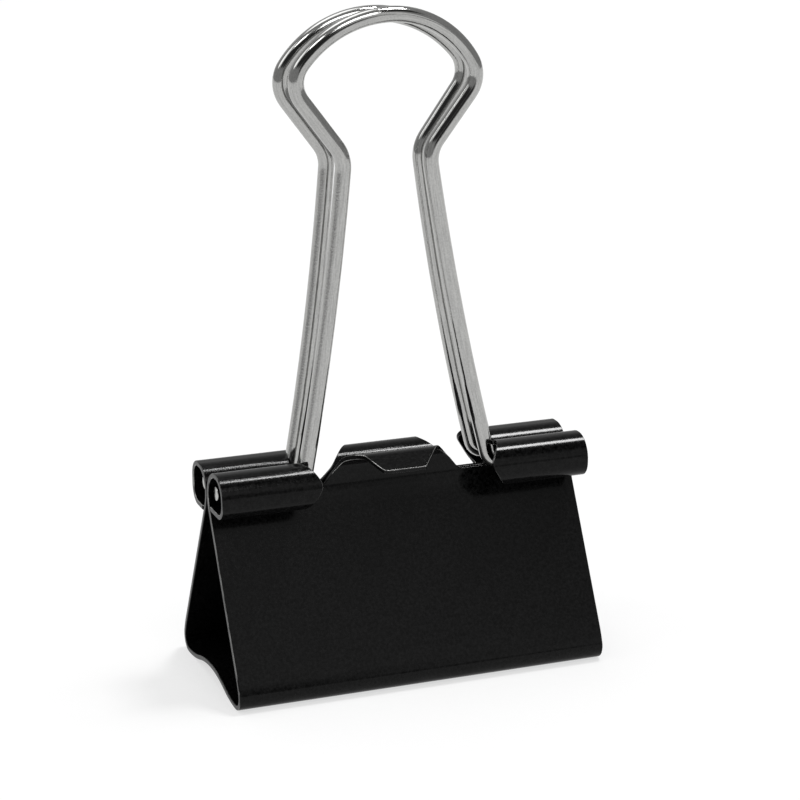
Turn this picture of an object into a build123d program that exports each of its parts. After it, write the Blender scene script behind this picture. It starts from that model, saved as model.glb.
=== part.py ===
from build123d import *
from math import atan, cos, degrees, radians, sin
import os

os.makedirs("parts", exist_ok=True)

# Binder clip, 25 mm size. A strip of spring steel is bent into a triangular prism: a bowed spine
# at the bottom and a flat jaw wall up each side. The top of each wall has a short middle tab with
# an out-turned tongue, and is rolled outwards into a tube on either side of the tab. The feet of
# a wire handle turn in each jaw's pair of tubes.
#
# Frame: X along the spine, front jaw towards -Y, +Z up. The origin is centred under the clip, on
# the surface that the two bottom bends stand on. Lengths are in millimetres, angles in degrees.

# Sheet-steel body
BODY_LENGTH = 25.4
SHEET = 0.32
WALL_LEAN = 28.5
BEND_RADIUS = 1.0
BEND_CENTRE = 5.42
SPINE_RISE = 0.79
JAW_GAP = 0.06
SEAM_GAP = 0.02

# Rolled tubes at the top of each wall, measured on their outside
LEAD_RADIUS = 30.0
LEAD_TURN = 3.0
TUBE_RADIUS = 1.9
TUBE_TOP_FLAT = 0.69
TUBE_SHOULDER_RADIUS = 1.0
TUBE_FACE = 1.05
TUBE_CORNER_RADIUS = 0.8
TUBE_RETURN = 2.15
TUBE_INNER_END = 6.74
STRIP_CORNER_RADIUS = 1.0

# Middle tab, its tongue and the notches that the handle legs pass through
NOTCH_FLOOR_HEIGHT = 12.45
NOTCH_FLOOR_START = 4.95
NOTCH_CORNER_RADIUS = 0.45
TAB_HALF_WIDTH = 3.0
TAB_CURL_RADIUS = 1.2
TAB_CURL_TURN = 110.0
TONGUE_LENGTH = 1.75
TONGUE_ROOT_HALF_WIDTH = 2.75
TONGUE_END_HALF_WIDTH = 1.4

# Wire handles, measured along the middle of the wire from the foot's axis
WIRE_RADIUS = 0.525
FOOT_AXIS_HEIGHT = 13.3
FOOT_AXIS_OFFSET = 1.25
FOOT_END = 12.45
LEG_BASE = 6.42
LEG_MIDDLE = (4.46, 10.5)
NECK = (2.97, 20.9)
HEAD_SIDE = (6.62, 25.9)
HEAD_TOP = 29.95
FOOT_BEND_RADIUS = 0.8
NECK_BEND_RADIUS = 2.2
HEAD_BEND_RADIUS = 1.9
FRONT_HANDLE_LEAN = 2.5
BACK_HANDLE_LEAN = 3.0

# The front wall seen along X, in the YZ plane: its direction up the wall, its outward normal and
# the hinge line, where the flat wall meets the outside of the bottom bend
wall_up = Vector(sin(radians(WALL_LEAN)), cos(radians(WALL_LEAN)))
wall_out = Vector(-cos(radians(WALL_LEAN)), sin(radians(WALL_LEAN)))
hinge_line = Vector(-BEND_CENTRE, BEND_RADIUS) + wall_out * BEND_RADIUS
bend_turn = 180 - 90 + WALL_LEAN

# The spine's underside is an S of equal arcs from each bend up to the middle
bow_turn = 2 * degrees(atan(SPINE_RISE / BEND_CENTRE))
bow_radius = BEND_CENTRE / 2 / sin(radians(bow_turn))

# The flat wall is as long as brings the rolled edge to half the jaw gap from the middle
roll_start_lean = WALL_LEAN - LEAD_TURN
lead_chord = 2 * LEAD_RADIUS * sin(radians(LEAD_TURN / 2))
lead_reach = lead_chord * sin(radians(WALL_LEAN - LEAD_TURN / 2))
roll_reach = TUBE_RADIUS * (1 - cos(radians(roll_start_lean)))
wall_inside_start = hinge_line - wall_out * SHEET
wall_reach = -wall_inside_start.X - JAW_GAP / 2 - lead_reach - roll_reach
wall_length = wall_reach / sin(radians(WALL_LEAN))

# Heights of the rolled tubes
lead_rise = lead_chord * cos(radians(WALL_LEAN - LEAD_TURN / 2))
roll_start_height = wall_inside_start.Y + wall_length * cos(radians(WALL_LEAN)) + lead_rise
tube_top = roll_start_height + TUBE_RADIUS * (1 + sin(radians(roll_start_lean)))
tube_bottom = tube_top - TUBE_SHOULDER_RADIUS - TUBE_FACE - TUBE_CORNER_RADIUS
notch_top = tube_top + TUBE_SHOULDER_RADIUS

# How far the tongue reaches out
tongue_end = -JAW_GAP / 2 - TAB_CURL_RADIUS * (1 - cos(radians(TAB_CURL_TURN)))
tongue_end -= TONGUE_LENGTH * sin(radians(TAB_CURL_TURN))

# Radius of the arc over the head of a handle
crown_rise = HEAD_TOP - HEAD_SIDE[1]
crown_radius = (HEAD_SIDE[0] ** 2 + crown_rise**2) / (2 * crown_rise)


def chain_arcs(edge, inset, arcs):
    """Carry a sheet face on through (radius, turn) arcs; a left turn's centre is on the inset side."""
    for radius, turn in arcs:
        arc_radius = radius - inset if turn > 0 else radius + inset
        edge = JernArc(edge @ 1, edge % 1, arc_radius, turn)
    return edge


def spine_face(inset):
    """The spine's underside, or its upper side at an inset of one sheet, from bend to bend."""
    bend = JernArc(hinge_line - wall_out * inset, wall_up * -1, BEND_RADIUS - inset, bend_turn)
    bow = [(bow_radius, bow_turn), (bow_radius, -2 * bow_turn), (bow_radius, bow_turn)]
    return bend, chain_arcs(bend, inset, bow + [(BEND_RADIUS, bend_turn)])


def wall_face(inset):
    """The front wall's inside face, or its outside face at an inset of one sheet."""
    foot = wall_inside_start + wall_out * inset
    wall = Line(foot + wall_up * SEAM_GAP, foot + wall_up * wall_length)
    return wall, chain_arcs(wall, inset, [(LEAD_RADIUS, LEAD_TURN)])


def tube_face(inset):
    """A wall face carried on round the tube and back to the wall."""
    wall, lead = wall_face(inset)
    crown = chain_arcs(lead, inset, [(TUBE_RADIUS, 90 + roll_start_lean)])
    top = Line(crown @ 1, crown @ 1 + crown % 1 * TUBE_TOP_FLAT)
    shoulder = chain_arcs(top, inset, [(TUBE_SHOULDER_RADIUS, 90)])
    face = Line(shoulder @ 1, shoulder @ 1 + shoulder % 1 * TUBE_FACE)
    corner = chain_arcs(face, inset, [(TUBE_CORNER_RADIUS, 90)])
    return wall, Line(corner @ 1, corner @ 1 + corner % 1 * TUBE_RETURN)


def tab_face(inset):
    """A wall face carried on up the middle tab and out along its tongue."""
    wall, lead = wall_face(inset)
    upright = chain_arcs(lead, inset, [(TUBE_RADIUS, roll_start_lean)])
    top = Line(upright @ 1, upright @ 1 + upright % 1 * (TUBE_RADIUS - TAB_CURL_RADIUS))
    curl = chain_arcs(top, inset, [(TAB_CURL_RADIUS, TAB_CURL_TURN)])
    return wall, Line(curl @ 1, curl @ 1 + curl % 1 * TONGUE_LENGTH)


def sheet_section(face_line, start_x):
    """The closed section between the two faces of one sheet, on the YZ plane at start_x."""
    with BuildSketch(Plane.YZ.offset(start_x)) as section:
        with BuildLine():
            near_start, near_end = face_line(0)
            far_start, far_end = face_line(SHEET)
            Line(near_start @ 0, far_start @ 0)
            Line(near_end @ 1, far_end @ 1)
        make_face()
    return section.sketch


with BuildPart() as spine:
    extrude(sheet_section(spine_face, -BODY_LENGTH / 2), amount=BODY_LENGTH)

with BuildPart() as front_jaw:
    # Middle of the wall with its tab, as wide as the gap between the tubes
    extrude(sheet_section(tab_face, -TUBE_INNER_END), amount=2 * TUBE_INNER_END)

    # Ends of the wall with the rolled tubes
    extrude(sheet_section(tube_face, TUBE_INNER_END), amount=BODY_LENGTH / 2 - TUBE_INNER_END)
    extrude(sheet_section(tube_face, -BODY_LENGTH / 2), amount=BODY_LENGTH / 2 - TUBE_INNER_END)

    # Notch between the tab and each tube
    with BuildSketch(Plane.XZ.offset(-BEND_CENTRE)) as notch:
        with BuildLine():
            Polyline(
                (TAB_HALF_WIDTH, notch_top),
                (TAB_HALF_WIDTH, NOTCH_FLOOR_HEIGHT + TUBE_RADIUS),
                (NOTCH_FLOOR_START, NOTCH_FLOOR_HEIGHT),
                (TUBE_INNER_END, NOTCH_FLOOR_HEIGHT),
                (TUBE_INNER_END, notch_top),
                close=True,
            )
        make_face()
        fillet(notch.vertices().group_by(Axis.Y)[0], NOTCH_CORNER_RADIUS)
        mirror(about=Plane.YZ)
    extrude(amount=2 * BEND_CENTRE, mode=Mode.SUBTRACT)

    # Slanted sides of the tongue
    with BuildSketch(Plane.XY.offset(NOTCH_FLOOR_HEIGHT)) as tongue_sides:
        with BuildLine():
            Polyline(
                (NOTCH_FLOOR_START, -TAB_CURL_RADIUS),
                (TONGUE_ROOT_HALF_WIDTH, -TAB_CURL_RADIUS),
                (TONGUE_END_HALF_WIDTH, tongue_end),
                (TONGUE_END_HALF_WIDTH, -BEND_CENTRE),
                (NOTCH_FLOOR_START, -BEND_CENTRE),
                close=True,
            )
        make_face()
        mirror(about=Plane.YZ)
    extrude(amount=notch_top - NOTCH_FLOOR_HEIGHT, mode=Mode.SUBTRACT)

    # Rounded corner where the free edge of each rolled strip meets its end over the notch
    with BuildSketch(Plane.XZ.offset(TAB_CURL_RADIUS / 2)) as strip_corner:
        with BuildLine():
            side = Line(
                (TUBE_INNER_END, tube_bottom + STRIP_CORNER_RADIUS),
                (TUBE_INNER_END, tube_bottom),
            )
            edge = Line(side @ 1, (TUBE_INNER_END + STRIP_CORNER_RADIUS, tube_bottom))
            RadiusArc(edge @ 1, side @ 0, STRIP_CORNER_RADIUS)
        make_face()
        mirror(about=Plane.YZ)
    extrude(amount=BEND_CENTRE, mode=Mode.SUBTRACT)

with BuildPart() as back_jaw:
    mirror(front_jaw.part, about=Plane.XZ)


def wire_handle(foot_y, lean):
    """One wire handle on its foot axis, with its head leaning towards +Y."""
    foot_axis = Vector(0, foot_y, FOOT_AXIS_HEIGHT)
    out_of_plane = Vector(0, -cos(radians(lean)), sin(radians(lean)))
    with BuildPart() as handle:
        with BuildLine(Plane(foot_axis, x_dir=(1, 0, 0), z_dir=out_of_plane)) as wire:
            Line((FOOT_END, 0), (LEG_BASE, 0))
            ThreePointArc((LEG_BASE, 0), LEG_MIDDLE, NECK)
            Line(NECK, HEAD_SIDE)
            RadiusArc(HEAD_SIDE, (0, HEAD_TOP), -crown_radius)
            corners = wire.vertices().sort_by(Axis.Z)
            fillet(corners[-2], HEAD_BEND_RADIUS)
            fillet(corners[-3], NECK_BEND_RADIUS)
            fillet(corners[:2].sort_by(Axis.X)[0], FOOT_BEND_RADIUS)
            mirror(about=Plane.YZ)
        with BuildSketch(Plane(wire.line @ 0, z_dir=wire.line % 0)):
            Circle(WIRE_RADIUS)
        sweep(path=wire.line)
    return handle.part


front_handle = wire_handle(-FOOT_AXIS_OFFSET, FRONT_HANDLE_LEAN)
back_handle = wire_handle(FOOT_AXIS_OFFSET, BACK_HANDLE_LEAN)

sub_parts = {
    "spine": spine.part,
    "front_jaw": front_jaw.part,
    "back_jaw": back_jaw.part,
    "front_handle": front_handle,
    "back_handle": back_handle,
}
for name, sub_part in sub_parts.items():
    sub_part.label = name
    export_step(sub_part, f"parts/{name}.step")
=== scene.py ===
"""A binder clip: black enamelled spring-steel body and two nickel-plated wire handles."""

import math

import bpy
import numpy as np
from mathutils import Matrix, Vector, geometry


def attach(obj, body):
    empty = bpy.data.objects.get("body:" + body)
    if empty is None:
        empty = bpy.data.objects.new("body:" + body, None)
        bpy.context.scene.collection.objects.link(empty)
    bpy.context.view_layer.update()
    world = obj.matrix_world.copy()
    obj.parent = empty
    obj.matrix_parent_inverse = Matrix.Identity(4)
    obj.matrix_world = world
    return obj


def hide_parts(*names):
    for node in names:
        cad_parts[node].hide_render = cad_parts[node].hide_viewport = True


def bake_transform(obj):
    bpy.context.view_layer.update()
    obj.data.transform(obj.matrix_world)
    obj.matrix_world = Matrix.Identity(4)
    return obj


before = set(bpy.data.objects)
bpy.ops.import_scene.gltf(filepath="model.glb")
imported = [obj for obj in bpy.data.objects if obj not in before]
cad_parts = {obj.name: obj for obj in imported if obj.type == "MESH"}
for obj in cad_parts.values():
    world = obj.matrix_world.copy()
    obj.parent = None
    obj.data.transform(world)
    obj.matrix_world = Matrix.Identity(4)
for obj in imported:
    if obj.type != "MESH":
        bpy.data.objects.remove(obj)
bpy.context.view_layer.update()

# Lengths in this file are in millimetres and become metres when a mesh or a light is made
MM = 0.001

# The sheet's section in the YZ plane: a line along its inside face from the middle of the spine,
# round the bottom bend and up the wall. An arc is (radius, degrees) and a straight run a length.
SHEET = 0.32

# The spine's bow, up to where the bottom bend starts
SPINE_RISE = 0.79
BEND_START = 5.333

# The bottom bend, which ends in an easier arc
BEND_RADIUS = 1.0
BEND_EASE = (6.0, 10.0)

# The wall leans in, and starts upright again on the lead arc; the roll's first degrees finish that
WALL_LEAN = 28.5
WALL_LENGTH = 10.9
LEAD = (3.2, 15.0)
ROLL_RADIUS = 1.9
ROLL_LEAN = WALL_LEAN - LEAD[1]

# Past upright each tab runs straight and then curls over: (run, radius, degrees). The tongue is
# flat from there.
TAB_CURL = {"front": (0.6, 1.2, 110.0), "back": (0.0, 1.6, 110.0)}
TONGUE_LENGTH = 1.75

# The flat sheet's outline, in half widths along X and lengths along the sheet. A tube's mouth is
# (half width, length back from the free edge, rounding) and the notch's end beside it is
# (half width, rounding). Beyond the split the section is a tube, and inside it the tab.
BODY_HALF_LENGTH = 12.7
STRIP_CORNER = 0.12
TUBE_MOUTH = (
    (7.2, 0.0, 0.8),
    (7.05, 2.0, 1.5),
    (5.8, 4.1, 0.9),
    (6.8, 6.2, 2.0),
    (6.87, 8.2, 3.0),
)
NOTCH_END = (6.87, 0.3)
TUBE_TAB_SPLIT = 5.5

# The tab's corners are (half width, length past upright, rounding), from the notch's floor over the
# ridge to the tongue's end. The left comes first, as the stamping is not quite symmetrical.
TAB = {
    "front": (
        (
            (5.15, -0.62, 0.35),
            (3.9, 0.85, 1.5),
            (3.45, 1.75, 0.8),
            (2.35, 2.65, 0.6),
            (1.55, 4.52, 0.55),
        ),
        ((4.75, -0.28, 0.35), (3.45, 1.42, 2.0), (2.55, 2.8, 1.5), (1.33, 4.52, 0.1)),
    ),
    "back": (
        (
            (5.05, -0.28, 0.35),
            (4.05, 0.8, 2.0),
            (2.62, 2.8, 0.8),
            (2.3, 3.5, 0.8),
            (1.6, 4.82, 0.5),
        ),
        (
            (4.7, -0.28, 0.35),
            (3.3, 1.4, 2.0),
            (2.62, 2.35, 1.2),
            (2.45, 3.4, 1.0),
            (1.6, 4.82, 0.5),
        ),
    ),
}

# Fineness of the sheet's mesh
LINE_STEP = 0.01
OUTLINE_STEP = 0.14
GRID_STEP_X = 0.5
GRID_STEP_FLAT = 0.8
GRID_STEP_ANGLE = 6.0
GRID_STEP_LEAST = 0.06
GRID_CLEARANCE = 0.09
CORNER_STEP_ANGLE = 12.0
EDGE_RADIUS = 0.055
EDGE_STEPS = 4

# Blender's triangulation keeps what is inside the outline and merges points this close, and a
# level side of the outline never divides by zero
KEEP_INSIDE = 1
MERGE_DISTANCE = 1e-6
NEVER_ZERO = 1e-12

# How far the paint has worn off the outside corner of the sheared edge: at the walls' ends, along
# the notch's floor and round the tongue. Elsewhere it is 1, and inside corners have a share of it.
INSIDE_WEAR = 0.6
SIDE_WEAR = {"front": 1.0, "back": 0.3}
NOTCH_WEAR = 0.3
TONGUE_WEAR = 1.8

# The notch's floor starts this far inside the tab's foot and lies below this height over the wall,
# and the tongue is within its root's half width
NOTCH_MARGIN = 0.5
NOTCH_HEIGHT = 1.0
TONGUE_ROOT = 2.8

# Wire handles, whose feet turn in the tubes about an axis this far (out, up), and reach out to
# their cut ends. Both lean back by their degrees.
WIRE_RADIUS = 0.525
FOOT_AXIS = (1.25, 13.3)
FOOT_END = 12.45
HANDLE_LEANS = {"front": 2.5, "back": 3.0}

# Each side of a handle, in its own plane and measured from the feet's axis: the leg's foot, middle
# and neck, then the side of the head. The crown's top is where its arc runs level. Neither handle
# is quite symmetrical.
HANDLE_LEFT = {
    "front": ((6.51, 0.0), (4.57, 10.5), (3.14, 21.1), (6.62, 25.85)),
    "back": ((6.57, 0.0), (4.68, 10.5), (3.36, 20.8), (6.70, 25.4)),
}
HANDLE_RIGHT = {
    "front": ((6.50, 0.0), (4.28, 10.5), (2.63, 21.05), (6.2, 25.52)),
    "back": ((6.42, 0.0), (4.36, 10.5), (2.97, 20.8), (6.55, 25.6)),
}
CROWN_TOP = {"front": (0.15, 29.93), "back": (-0.15, 29.63)}

# Radii of the bends along a handle
FOOT_BEND = 0.8
NECK_BEND = 2.2
HEAD_BEND = 1.9

# Fineness of the wire's line and of its mesh
WIRE_STEP = 0.02
RING_STEP = 0.22
RING_POINTS = 40

# The cut ends' rounding and its steps in degrees, and how much a bend flattens the wire
END_ROUNDING = 0.09
END_ANGLES = (20, 45, 70, 90)
BEND_SQUEEZE = 0.03
MOST_BENDING = 0.6

# How much longer than wide the drawing lines are
DRAW_STRETCH = 12.0

# Colours
PAINT_DARK = (0.0004, 0.0004, 0.0004, 1)
PAINT_LIGHT = (0.0105, 0.0105, 0.0107, 1)
BARE_STEEL = (0.5, 0.5, 0.49, 1)
NICKEL_DARK = (0.36, 0.36, 0.355, 1)
NICKEL_LIGHT = (0.54, 0.54, 0.53, 1)
CUT_WIRE = (0.42, 0.42, 0.41, 1)
FLOOR_GREY = (0.25, 0.25, 0.25, 1)
WHITE = (1, 1, 1, 1)

# The floor reaches this many metres each way, and glows enough to come out as white as the backdrop
FLOOR_REACH = 3
FLOOR_GLOW = 0.68

# Distant soft lights: (azimuth, elevation, (wide, tall) in degrees, radiance)
LIGHTS = {
    "top_light": (98, 69, (13, 13), 36.0),
    "front_light": (6, 51, (20, 20), 4.5),
    "left_light": (-56, 57, (18, 9), 4.5),
}
LIGHT_DISTANCE = 1500
LIGHT_TARGET = (0, 0, 20)

# Surroundings: a grey room with darker and lighter parts, as
# (azimuth, elevation, angle where it starts, angle where it is full, strength)
ROOM = 0.42
ROOM_PARTS = (
    (180, 20, 44, 26, 0.62),
    (-170, 66, 22, 12, 2.4),
    (-100, 42, 18, 10, 2.0),
    (5, 20, 22, 12, 0.05),
    (-22, 34, 18, 10, 0.05),
    (-50, 40, 16, 9, 0.05),
    (38, 52, 18, 10, 0.06),
    (17, 27, 14, 4, 0.95),
    (25, 12, 9, 5, 1.0),
)

# Camera, with its roll in degrees
LENS = 122.35
SENSOR_WIDTH = 36.0
CAMERA_PLACE = (-59.25, -160.31, 69.12)
CAMERA_TARGET = (0.252, -1.145, 18.149)
CAMERA_ROLL = -0.32
DISPLAY_GAMMA = 0.85


def line_of(steps, start, heading):
    """Stations along a bent line of (length, turn) steps: columns of length, Y, Z and heading."""
    rows = [(0.0, start[0], start[1], heading)]
    for length, turn in steps:
        count = max(1, math.ceil(length / LINE_STEP))
        half = turn / count / 2
        chord = length / count * (math.sin(half) / half if half else 1.0)
        for _ in range(count):
            s, y, z, h = rows[-1]
            y += chord * math.cos(h + half)
            z += chord * math.sin(h + half)
            rows.append((s + length / count, y, z, h + 2 * half))
    return np.array(rows)


def arc(radius, degrees):
    """One (length, turn) step for an arc; a right turn is negative."""
    return radius * abs(math.radians(degrees)), math.radians(degrees)


# Each rolled tube's section, from the top of the wall round to its free edge
TUBE_STEPS = {
    "front": [
        arc(ROLL_RADIUS, 90 + ROLL_LEAN),
        (0.12, 0.0),
        arc(1.5, 90),
        (0.2, 0.0),
        arc(1.15, 90),
        (1.73, 0.0),
    ],
    "back": [
        arc(ROLL_RADIUS, ROLL_LEAN),
        arc(1.6, 90),
        (0.42, 0.0),
        arc(1.2, 90),
        (0.665, 0.0),
        arc(1.15, 90),
        (1.13, 0.0),
    ],
}


def sheet_lines(end):
    """One side's inside face up to the roll, and carried on round the tube and along the tongue."""
    bow_turn = 2 * math.degrees(math.atan(SPINE_RISE / BEND_START))
    bow_radius = BEND_START / 2 / math.sin(math.radians(bow_turn))
    wall = [
        arc(bow_radius + SHEET, bow_turn),
        arc(bow_radius - SHEET, -bow_turn),
        arc(BEND_RADIUS - SHEET, BEND_EASE[1] - 90 - WALL_LEAN),
        arc(BEND_EASE[0] - SHEET, -BEND_EASE[1]),
        (WALL_LENGTH, 0.0),
        arc(*LEAD),
    ]
    tab = [
        arc(ROLL_RADIUS, ROLL_LEAN),
        (TAB_CURL[end][0], 0.0),
        arc(*TAB_CURL[end][1:]),
        (TONGUE_LENGTH, 0.0),
    ]
    start = (0.0, SPINE_RISE + SHEET)
    return {
        "wall": line_of(wall, start, math.pi),
        "tube": line_of(wall + TUBE_STEPS[end], start, math.pi),
        "tab": line_of(wall + tab, start, math.pi),
    }


def unit(v):
    """The vector at unit length."""
    return v / np.linalg.norm(v)


def dense(points, step):
    """A line of points with its long spans divided."""
    out = [points[0]]
    for a, b in zip(points, points[1:]):
        count = max(1, math.ceil(np.linalg.norm(b - a) / step))
        out += [a + (b - a) * i / count for i in range(1, count + 1)]
    return np.array(out)


def rounded(corners):
    """A dense line through (x, s, radius) corners, each rounded to its radius."""
    points = [np.array(corners[0][:2])]
    for before, here, after in zip(corners, corners[1:], corners[2:]):
        p = np.array(here[:2])
        u, v = unit(np.array(before[:2]) - p), unit(np.array(after[:2]) - p)
        half = math.acos(np.clip(u @ v, -1, 1)) / 2
        centre = p + unit(u + v) * here[2] / math.sin(half)
        a = p + u * here[2] / math.tan(half) - centre
        b = p + v * here[2] / math.tan(half) - centre
        sweep = math.pi - 2 * half
        count = max(2, math.ceil(sweep / math.radians(CORNER_STEP_ANGLE)))
        for i in range(count + 1):
            t = i / count * sweep
            points.append(centre + (a * math.sin(sweep - t) + b * math.sin(t)) / math.sin(sweep))
    points.append(np.array(corners[-1][:2]))
    return dense(points, OUTLINE_STEP)


def sheet_outline(lines, end):
    """The outline in (x, s), from the middle of the spine's right end round to its left."""
    upright = lines["wall"][-1, 0] + arc(ROLL_RADIUS, ROLL_LEAN)[0]
    edge = lines["tube"][-1, 0]
    left, right = (
        rounded(
            [(BODY_HALF_LENGTH, 0.0, 0), (BODY_HALF_LENGTH, edge, STRIP_CORNER)]
            + [(x, edge - back, radius) for x, back, radius in TUBE_MOUTH]
            + [(NOTCH_END[0], upright + tab[0][1], NOTCH_END[1])]
            + [(x, upright + along, radius) for x, along, radius in tab]
            + [(0.0, upright + tab[-1][1], 0)]
        )
        for tab in TAB[end]
    )
    return np.vstack([right, left[-2::-1] * (-1, 1)])


def at(lines, s, x, t):
    """Points at lengths s, widths x and depth t, with directions along and across the sheet."""
    y, z, h = (
        np.where(
            np.abs(x) > TUBE_TAB_SPLIT,
            np.interp(s, lines["tube"][:, 0], lines["tube"][:, i]),
            np.interp(s, lines["tab"][:, 0], lines["tab"][:, i]),
        )
        for i in (1, 2, 3)
    )
    across = np.stack([np.zeros_like(h), -np.sin(h), np.cos(h)], 1)
    along = np.stack([np.zeros_like(h), np.cos(h), np.sin(h)], 1)
    return np.stack([x, y, z], 1) + across * np.reshape(t, (-1, 1)), along, across


def inside(points, outline):
    """Which points lie inside the closed outline, by counting the sides that a ray crosses."""
    x, y = points[:, 0, None], points[:, 1, None]
    ax, ay = outline[:, 0], outline[:, 1]
    bx, by = np.roll(ax, -1), np.roll(ay, -1)
    crosses = ((ay > y) != (by > y)) & (x < ax + (bx - ax) * (y - ay) / (by - ay + NEVER_ZERO))
    return crosses.sum(1) % 2 == 1


def grid_points(lines, outline):
    """Points inside the outline: closer together along the sheet where it bends."""
    stations = [0.0]
    for name in ("tube", "tab"):
        line = lines[name]
        last = 0
        for i in range(1, len(line)):
            bent = abs(line[i, 3] - line[last, 3]) > math.radians(GRID_STEP_ANGLE)
            if bent or line[i, 0] - line[last, 0] > GRID_STEP_FLAT:
                stations.append(line[i, 0])
                last = i
    stations = np.unique(np.round(stations, 2))
    stations = stations[np.insert(np.diff(stations) > GRID_STEP_LEAST, 0, True)]
    xs = np.arange(-BODY_HALF_LENGTH, BODY_HALF_LENGTH + GRID_STEP_X / 2, GRID_STEP_X)
    points = np.array([(x, s) for s in stations[1:] for x in xs])
    points = points[inside(points, outline)]
    gaps = np.array([np.linalg.norm(outline - p, axis=1).min() for p in points])
    return points[gaps > GRID_CLEARANCE]


def make_mesh(name, verts, faces, normals, values):
    """A smooth mesh with its own normals, and point values for its material."""
    mesh = bpy.data.meshes.new(name)
    mesh.from_pydata([tuple(v * MM) for v in verts], [], faces)
    mesh.validate()
    mesh.shade_smooth()
    for key, value in values.items():
        kind, field = ("FLOAT", "value") if value.ndim == 1 else ("FLOAT_VECTOR", "vector")
        mesh.attributes.new(key, kind, "POINT").data.foreach_set(field, value.ravel())
    mesh.normals_split_custom_set_from_vertices([tuple(n) for n in normals])
    obj = bpy.data.objects.new(name, mesh)
    bpy.context.scene.collection.objects.link(obj)
    return obj


def edge_wear(lines, outline, end):
    """How far the paint has worn off each part of the outline."""
    x, s = np.abs(outline[:, 0]), outline[:, 1]
    top = lines["wall"][-1, 0]
    wear = np.ones(len(outline))
    wear[(x > BODY_HALF_LENGTH - EDGE_RADIUS) & (s < top)] = SIDE_WEAR[end]
    foot = TAB[end][1][0][0]
    notch = (x > foot - NOTCH_MARGIN) & (x < NOTCH_END[0]) & (s < top + NOTCH_HEIGHT)
    wear[notch] = NOTCH_WEAR
    wear[(x < TONGUE_ROOT) & (s > top + ROLL_RADIUS)] = TONGUE_WEAR
    return wear


def outward_ways(outline):
    """Unit directions out of the flat sheet, along its outline."""
    tangents = np.zeros_like(outline)
    tangents[1:-1] = outline[2:] - outline[:-2]
    tangents[0] = (0, 1)
    tangents[-1] = (0, -1)
    tangents /= np.linalg.norm(tangents, axis=1, keepdims=True)
    return np.stack([tangents[:, 1], -tangents[:, 0]], 1)


def edge_profile():
    """The sheared edge's two rounded corners, as (angle, depth of the corner's centre)."""
    angles = np.radians(np.linspace(-90, 0, EDGE_STEPS + 1))
    inner = [(angle, EDGE_RADIUS) for angle in angles[1:]]
    outer = [(-angle, SHEET - EDGE_RADIUS) for angle in angles[:0:-1]]
    return inner + outer


def half_sheet(name, end, side):
    """Half the body, from the middle of the spine to the rolled edge; side is -1 at the front."""
    lines = sheet_lines(end)
    outline = sheet_outline(lines, end)
    outward = outward_ways(outline)
    count = len(outline)

    # One triangulation serves both faces; its border is the outline less the edge rounding, closed
    # by a seam across the spine's middle
    border = outline - outward * EDGE_RADIUS
    seam = dense(np.array([border[-1], border[0]]), GRID_STEP_X)[1:-1]
    loop = np.vstack([border, seam])
    points = np.vstack([loop, grid_points(lines, loop)])
    flat, _, triangles, *_ = geometry.delaunay_2d_cdt(
        [Vector(p) for p in points], [], [list(range(len(loop)))], KEEP_INSIDE, MERGE_DISTANCE
    )
    flat = np.array(flat)
    size = len(flat)

    # The inside and outside faces, wound for the front half
    verts, normals, worn, faces = [], [], [], []
    for depth, sign in ((0.0, -1), (SHEET, 1)):
        place, _, across = at(lines, flat[:, 1], flat[:, 0], depth)
        verts.append(place)
        normals.append(across * sign)
        worn.append(np.zeros(size))
    for tri in triangles:
        faces.append(tri[::-1])
        faces.append([v + size for v in tri])

    # The sheared edge: rings from the inside face's border round to the outside face's
    wear = edge_wear(lines, outline, end)
    rings = [np.arange(count)]
    for step, (angle, level) in enumerate(edge_profile()):
        reach = EDGE_RADIUS * (math.cos(angle) - 1)
        spot = outline + outward * reach
        depth = level + EDGE_RADIUS * math.sin(angle)
        place, along, across = at(lines, spot[:, 1], spot[:, 0], depth)
        edge_normal = outward[:, :1] * np.array([[1.0, 0, 0]]) + outward[:, 1:] * along
        rings.append(np.arange(count) + 2 * size + step * count)
        verts.append(place)
        normals.append(edge_normal * math.cos(angle) + across * math.sin(angle))
        corner = math.sin(2 * angle)
        worn.append(wear * max(corner, INSIDE_WEAR * -corner))
    rings.append(np.arange(count) + size)
    for low, high in zip(rings, rings[1:]):
        for i in range(count - 1):
            faces.append([int(v) for v in (low[i], low[i + 1], high[i + 1], high[i])])

    # The cut across the spine's middle, where the other half joins
    seam_ids = list(range(count, count + len(seam)))
    cap = [int(ring[0]) for ring in rings] + [v + size for v in seam_ids[::-1]]
    cap += [int(ring[-1]) for ring in rings[::-1]] + seam_ids
    faces.append(cap)

    # The lines run up the front wall, and the back half is their mirror image
    verts, normals = np.vstack(verts), np.vstack(normals)
    verts[:, 1] *= -side
    normals[:, 1] *= -side
    if side > 0:
        faces = [face[::-1] for face in faces]
    return make_mesh(name, verts, faces, normals, {"worn": np.concatenate(worn)})


def turned(points, radius):
    """A dense plane line moved sideways to its left by radius."""
    ways = np.gradient(points, axis=0)
    ways /= np.linalg.norm(ways, axis=1, keepdims=True)
    return points + radius * np.stack([-ways[:, 1], ways[:, 0]], 1)


def short_way(start, end):
    """The angle from start to end, the short way round."""
    return (end - start + math.pi) % (2 * math.pi) - math.pi


def on_circle(centre, radius, angles):
    """Points on a circle at the angles."""
    return centre + radius * np.stack([np.cos(angles), np.sin(angles)], 1)


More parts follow.
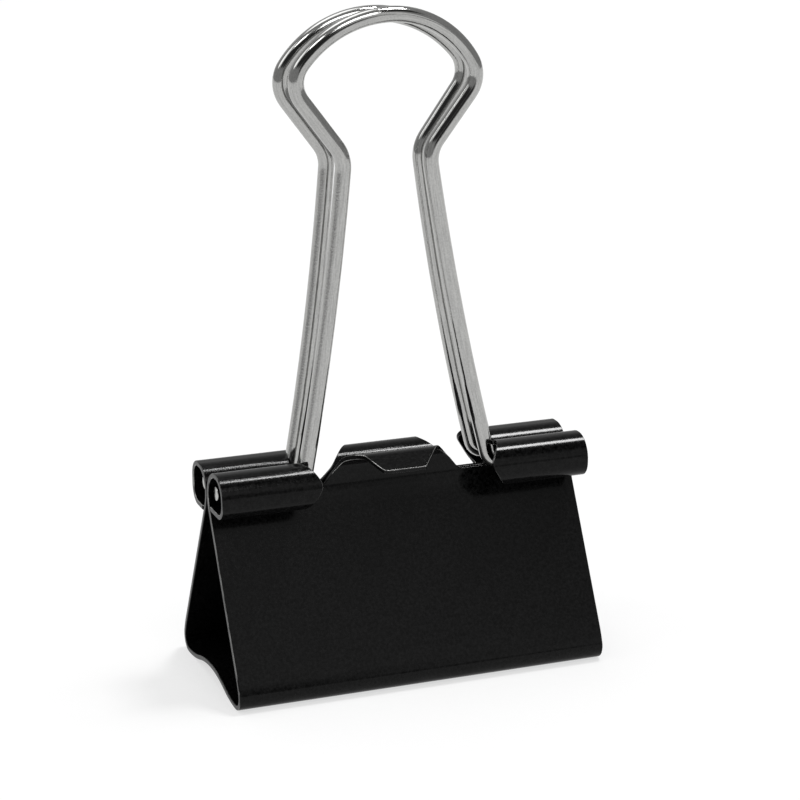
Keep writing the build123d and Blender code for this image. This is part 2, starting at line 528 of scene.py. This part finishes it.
def joined(a, b, radius):
    """Two dense lines that meet at a corner, joined by an arc; a left turn's radius is positive."""
    side_a, side_b = turned(a, radius), turned(b, radius)
    gaps = np.linalg.norm(side_a[:, None] - side_b[None], axis=2)
    i, j = np.unravel_index(gaps.argmin(), gaps.shape)
    centre = (side_a[i] + side_b[j]) / 2
    start, end = (math.atan2(*(p - centre)[::-1]) for p in (a[i], b[j]))
    sweep = short_way(start, end)
    count = math.ceil(abs(sweep * radius) / WIRE_STEP)
    bend = on_circle(centre, abs(radius), start + sweep * np.arange(1, count) / count)
    return np.vstack([a[: i + 1], bend, b[j:]])


def circle_through(a, b, c):
    """A dense arc from a through b to c."""
    (ax, ay), (bx, by), (cx, cy) = a, b, c
    m = np.array([[bx - ax, by - ay], [cx - bx, cy - by]])
    r = np.array([bx**2 - ax**2 + by**2 - ay**2, cx**2 - bx**2 + cy**2 - by**2]) / 2
    centre = np.linalg.solve(m, r)
    start, end = (math.atan2(*(np.array(p) - centre)[::-1]) for p in (a, c))
    sweep = short_way(start, end)
    radius = np.linalg.norm(np.array(a) - centre)
    count = math.ceil(abs(sweep) * radius / WIRE_STEP)
    return on_circle(centre, radius, start + sweep * np.linspace(0, 1, count))


def crown(head, top):
    """A dense arc from a side of the head up to its highest point, where it runs level."""
    run, rise = head[0] - top[0], top[1] - head[1]
    radius = (run**2 + rise**2) / (2 * rise)
    start = math.asin(1 - rise / radius)
    count = math.ceil((math.pi / 2 - start) * radius / WIRE_STEP)
    centre = np.array([top[0], top[1] - radius])
    return on_circle(centre, radius, np.linspace(start, math.pi / 2, count))


def handle_line(end):
    """The wire's middle line in the handle's own plane, evenly spaced, from foot to foot."""
    shift, height = CROWN_TOP[end]
    halves = []
    for (base, middle, neck, head), top in (
        (HANDLE_RIGHT[end], (shift, height)),
        (HANDLE_LEFT[end], (-shift, height)),
    ):
        half = dense(np.array([(FOOT_END, 0.0), base]), WIRE_STEP)
        half = joined(half, circle_through(base, middle, neck), -FOOT_BEND)
        half = joined(half, dense(np.array([neck, head]), WIRE_STEP), -NECK_BEND)
        halves.append(joined(half, crown(head, top), HEAD_BEND))
    whole = np.vstack([halves[0], halves[1][-2::-1] * (-1, 1)])
    lengths = np.insert(np.cumsum(np.linalg.norm(np.diff(whole, axis=0), axis=1)), 0, 0)
    even = np.linspace(0, lengths[-1], round(lengths[-1] / RING_STEP))
    return np.stack([np.interp(even, lengths, whole[:, i]) for i in (0, 1)], 1), even


def wire_rings(line, ways, bending):
    """(centre, heading, bending, radius, cut, tilt) of each ring, with its cut ends rounded."""
    rounding = []
    for degrees in END_ANGLES:
        angle = math.radians(degrees)
        # The normals tilt later than the surface does, which keeps the end's corner crisp
        drop = 1 - math.cos(angle)
        radius = WIRE_RADIUS - END_ROUNDING * drop
        rounding.append((END_ROUNDING * math.sin(angle), radius, math.asin(drop)))

    start = line[0] + ways[0] * END_ROUNDING
    end = line[-1] - ways[-1] * END_ROUNDING
    rings = []
    for out, radius, tilt in rounding[::-1]:
        rings.append((start - ways[0] * out, ways[0], 0.0, radius, 1.0, -tilt))
    for spot, way, bend in zip(line, ways, bending):
        if min(np.linalg.norm(spot - line[0]), np.linalg.norm(spot - line[-1])) > END_ROUNDING:
            rings.append((spot, way, bend, WIRE_RADIUS, 0.0, 0.0))
    for out, radius, tilt in rounding:
        rings.append((end + ways[-1] * out, ways[-1], 0.0, radius, 1.0, tilt))
    return rings


def handle(name, end, side):
    """One wire handle, swept round with slightly flattened bends; side is -1 at the front."""
    line, lengths = handle_line(end)
    ways = np.gradient(line, lengths, axis=0)
    ways /= np.linalg.norm(ways, axis=1, keepdims=True)
    heading = np.unwrap(np.arctan2(ways[:, 1], ways[:, 0]))
    bending = np.clip(np.abs(np.gradient(heading, lengths)) * WIRE_RADIUS, 0, MOST_BENDING)
    rings = wire_rings(line, ways, bending)

    lean = math.radians(HANDLE_LEANS[end])
    plane = np.array([[1, 0, 0], [0, math.sin(lean), math.cos(lean)]])
    off_plane = np.array([0, -math.cos(lean), math.sin(lean)])
    around = np.linspace(0, 2 * math.pi, RING_POINTS, endpoint=False)
    cos, sin = np.cos(around)[:, None], np.sin(around)[:, None]
    verts, normals, worn, drawn = [], [], [], []
    length, last_centre = 0.0, rings[0][0] @ plane
    for spot, way, bend, radius, cut, tilt in rings:
        inward = np.array([-way[1], way[0]]) @ plane
        centre = spot @ plane
        wide, thin = 1 + BEND_SQUEEZE * bend / 2, 1 - BEND_SQUEEZE * bend
        across = cos * inward * thin + sin * off_plane * wide
        facing = cos * inward / thin + sin * off_plane / wide
        verts.append(centre + across * radius)
        normals.append(facing * math.cos(tilt) + (way @ plane) * math.sin(tilt))
        worn.append(np.full(RING_POINTS, cut))
        length += np.linalg.norm(centre - last_centre)
        last_centre = centre
        lengthwise = np.full((RING_POINTS, 1), length / DRAW_STRETCH)
        drawn.append(np.hstack([cos, sin, lengthwise]) * radius * MM)

    faces = []
    for i in range(len(rings) - 1):
        for j in range(RING_POINTS):
            k = (j + 1) % RING_POINTS
            a, b = i * RING_POINTS, (i + 1) * RING_POINTS
            faces.append([a + k, b + k, b + j, a + j])
    faces.append(list(range(RING_POINTS))[::-1])
    faces.append([(len(rings) - 1) * RING_POINTS + j for j in range(RING_POINTS)])
    verts = np.vstack(verts) + (0, side * FOOT_AXIS[0], FOOT_AXIS[1])
    values = {"worn": np.concatenate(worn), "drawn": np.vstack(drawn)}
    return make_mesh(name, verts, faces, np.vstack(normals), values)


def material(name):
    """A new material with its node tree and its shader."""
    made = bpy.data.materials.new(name)
    made.use_nodes = True
    return made, made.node_tree, made.node_tree.nodes["Principled BSDF"]


def add(tree, kind, **settings):
    """A node with its settings; inputs are given as a dict, with values or sockets."""
    node = tree.nodes.new(kind)
    inputs = settings.pop("inputs", {})
    for key, value in settings.items():
        setattr(node, key, value)
    for key, value in inputs.items():
        if isinstance(value, bpy.types.NodeSocket):
            tree.links.new(value, node.inputs[key])
        else:
            node.inputs[key].default_value = value
    return node


def noise(tree, coordinates, scale, detail=3.0, roughness=0.55):
    """A noise's value, with its scale in cells a metre."""
    inputs = {"Vector": coordinates, "Scale": scale, "Detail": detail, "Roughness": roughness}
    return add(tree, "ShaderNodeTexNoise", inputs=inputs).outputs["Fac"]


def spread(tree, value, source, target, **settings):
    """A value mapped from its source range to the target range."""
    inputs = {"Value": value}
    for key, number in zip(("From Min", "From Max", "To Min", "To Max"), (*source, *target)):
        inputs[key] = number
    return add(tree, "ShaderNodeMapRange", inputs=inputs, **settings).outputs["Result"]


def blend_colours(tree, factor, a, b):
    """The colour between a and b at the factor; each is a colour or a socket."""
    node = add(tree, "ShaderNodeMix", data_type="RGBA")
    tree.links.new(factor, node.inputs["Factor"])
    for key, value in (("A", a), ("B", b)):
        socket = next(s for s in node.inputs if s.name == key and s.type == "RGBA")
        if isinstance(value, bpy.types.NodeSocket):
            tree.links.new(value, socket)
        else:
            socket.default_value = value
    return next(s for s in node.outputs if s.type == "RGBA")


def maths(tree, operation, a, b):
    """The result of a maths node."""
    return add(tree, "ShaderNodeMath", operation=operation, inputs={0: a, 1: b}).outputs[0]


def bumped(tree, height, strength):
    """A bump's normal, for relief about a hundredth of a millimetre deep."""
    inputs = {"Height": height, "Strength": strength, "Distance": 0.01 * MM}
    return add(tree, "ShaderNodeBump", inputs=inputs).outputs["Normal"]


def enamel():
    """Baked black enamel with a faint texture, worn thin along the sheared edges."""
    made, tree, shader = material("black_enamel")
    place = add(tree, "ShaderNodeTexCoord").outputs["Object"]
    worn = add(tree, "ShaderNodeAttribute", attribute_name="worn").outputs["Fac"]
    grain = noise(tree, place, scale=5200, roughness=0.65)
    patches = noise(tree, place, scale=260, detail=4.0)
    rubs = noise(tree, place, scale=900, roughness=0.6)

    paint = blend_colours(tree, spread(tree, grain, (0.35, 0.7), (0, 1)), PAINT_DARK, PAINT_LIGHT)
    bare = maths(tree, "MULTIPLY", worn, spread(tree, rubs, (0.3, 0.6), (0.35, 1)))
    bare = spread(tree, bare, (0.3, 0.85), (0, 1))
    colour = blend_colours(tree, bare, paint, BARE_STEEL)
    gloss = spread(tree, patches, (0.3, 0.7), (0.1, 0.13))
    roughness = maths(tree, "ADD", gloss, spread(tree, grain, (0.3, 0.7), (0, 0.06)))
    tree.links.new(colour, shader.inputs["Base Color"])
    tree.links.new(bare, shader.inputs["Metallic"])
    tree.links.new(roughness, shader.inputs["Roughness"])
    tree.links.new(bumped(tree, grain, 0.25), shader.inputs["Normal"])
    shader.inputs["Specular IOR Level"].default_value = 0.22
    return made


def nickel():
    """Nickel plate on drawn wire, with fine lines along it and a slightly mottled gloss."""
    made, tree, shader = material("nickel_plate")
    place = add(tree, "ShaderNodeTexCoord").outputs["Object"]
    worn = add(tree, "ShaderNodeAttribute", attribute_name="worn").outputs["Fac"]
    drawn = add(tree, "ShaderNodeAttribute", attribute_name="drawn").outputs["Vector"]
    cloud = noise(tree, place, scale=900, detail=4.0)
    lines = noise(tree, drawn, scale=14000, roughness=0.6)
    pits = noise(tree, place, scale=9000, detail=2.0, roughness=0.6)

    streaks = spread(tree, lines, (0.3, 0.7), (0, 0.6))
    tone = maths(tree, "ADD", streaks, spread(tree, pits, (0.3, 0.7), (0, 0.4)))
    plate = blend_colours(tree, tone, NICKEL_DARK, NICKEL_LIGHT)
    colour = blend_colours(tree, worn, plate, CUT_WIRE)
    relief = maths(tree, "ADD", lines, maths(tree, "MULTIPLY", pits, 0.6))
    tree.links.new(colour, shader.inputs["Base Color"])
    tree.links.new(spread(tree, cloud, (0.3, 0.7), (0.06, 0.11)), shader.inputs["Roughness"])
    tree.links.new(bumped(tree, relief, 0.3), shader.inputs["Normal"])
    shader.inputs["Metallic"].default_value = 1.0
    return made


def aim(obj, position, target, roll=0.0):
    """Place a lamp or the camera, looking at target, in millimetres; roll is in degrees."""
    obj.location = Vector(position) * MM
    way = (Vector(target) - Vector(position)).to_track_quat("-Z", "Y")
    obj.rotation_mode = "QUATERNION"
    obj.rotation_quaternion = way @ Matrix.Rotation(math.radians(roll), 3, "Z").to_quaternion()


def towards(azimuth, elevation):
    """A unit direction: azimuth from the front round to the right, and elevation, in degrees."""
    a, e = math.radians(azimuth), math.radians(elevation)
    return Vector((math.sin(a) * math.cos(e), -math.cos(a) * math.cos(e), math.sin(e)))


# The object
black, plate = enamel(), nickel()
for name, side in (("front", -1), ("back", 1)):
    body = half_sheet(f"body_{name}", name, side)
    body.data.materials.append(black)
    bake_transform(body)
    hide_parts("spine", f"{name}_jaw")
    wire = handle(f"handle_{name}", name, side)
    wire.data.materials.append(plate)
    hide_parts(f"{name}_handle")
    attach(wire, f"{name}_handle")

# Floor
floor_mesh = bpy.data.meshes.new("floor")
corners = [(x * FLOOR_REACH, y * FLOOR_REACH, 0) for x, y in ((-1, -1), (1, -1), (1, 1), (-1, 1))]
floor_mesh.from_pydata(corners, [], [(0, 1, 2, 3)])
floor = bpy.data.objects.new("floor", floor_mesh)
bpy.context.scene.collection.objects.link(floor)
pale, _, pale_shader = material("pale_floor")
pale_shader.inputs["Base Color"].default_value = FLOOR_GREY
pale_shader.inputs["Roughness"].default_value = 0.9
pale_shader.inputs["Specular IOR Level"].default_value = 0.0
pale_shader.inputs["Emission Color"].default_value = WHITE
pale_shader.inputs["Emission Strength"].default_value = FLOOR_GLOW
floor_mesh.materials.append(pale)

# Lights, each a rectangle that fills its angles as seen from the clip
for name, (azimuth, elevation, angles, radiance) in LIGHTS.items():
    lamp = bpy.data.lights.new(name, "AREA")
    lamp.shape = "RECTANGLE"
    lamp.size, lamp.size_y = (
        2 * LIGHT_DISTANCE * math.tan(math.radians(angle / 2)) * MM for angle in angles
    )
    lamp.energy = radiance * math.pi * lamp.size * lamp.size_y
    light = bpy.data.objects.new(name, lamp)
    bpy.context.scene.collection.objects.link(light)
    aim(light, towards(azimuth, elevation) * LIGHT_DISTANCE, LIGHT_TARGET)

# Surroundings
world = bpy.data.worlds.new("studio")
bpy.context.scene.world = world
world.use_nodes = True
sky = world.node_tree
background = sky.nodes["Background"]
way = add(sky, "ShaderNodeTexCoord").outputs["Generated"]
strength = ROOM
for azimuth, elevation, start, full, level in ROOM_PARTS:
    inputs = {0: way, 1: towards(azimuth, elevation)}
    facing = add(sky, "ShaderNodeVectorMath", operation="DOT_PRODUCT", inputs=inputs)
    reach = (math.cos(math.radians(start)), math.cos(math.radians(full)))
    strength = spread(
        sky, facing.outputs["Value"], reach, (strength, level), interpolation_type="SMOOTHSTEP"
    )
sky.links.new(strength, background.inputs["Strength"])
background.inputs["Color"].default_value = WHITE

# Camera
lens = bpy.data.cameras.new("camera")
lens.lens = LENS
lens.sensor_width = SENSOR_WIDTH
camera = bpy.data.objects.new("camera", lens)
bpy.context.scene.collection.objects.link(camera)
aim(camera, CAMERA_PLACE, CAMERA_TARGET, CAMERA_ROLL)
bpy.context.scene.camera = camera
bpy.context.scene.view_settings.view_transform = "Standard"
bpy.context.scene.view_settings.gamma = DISPLAY_GAMMA
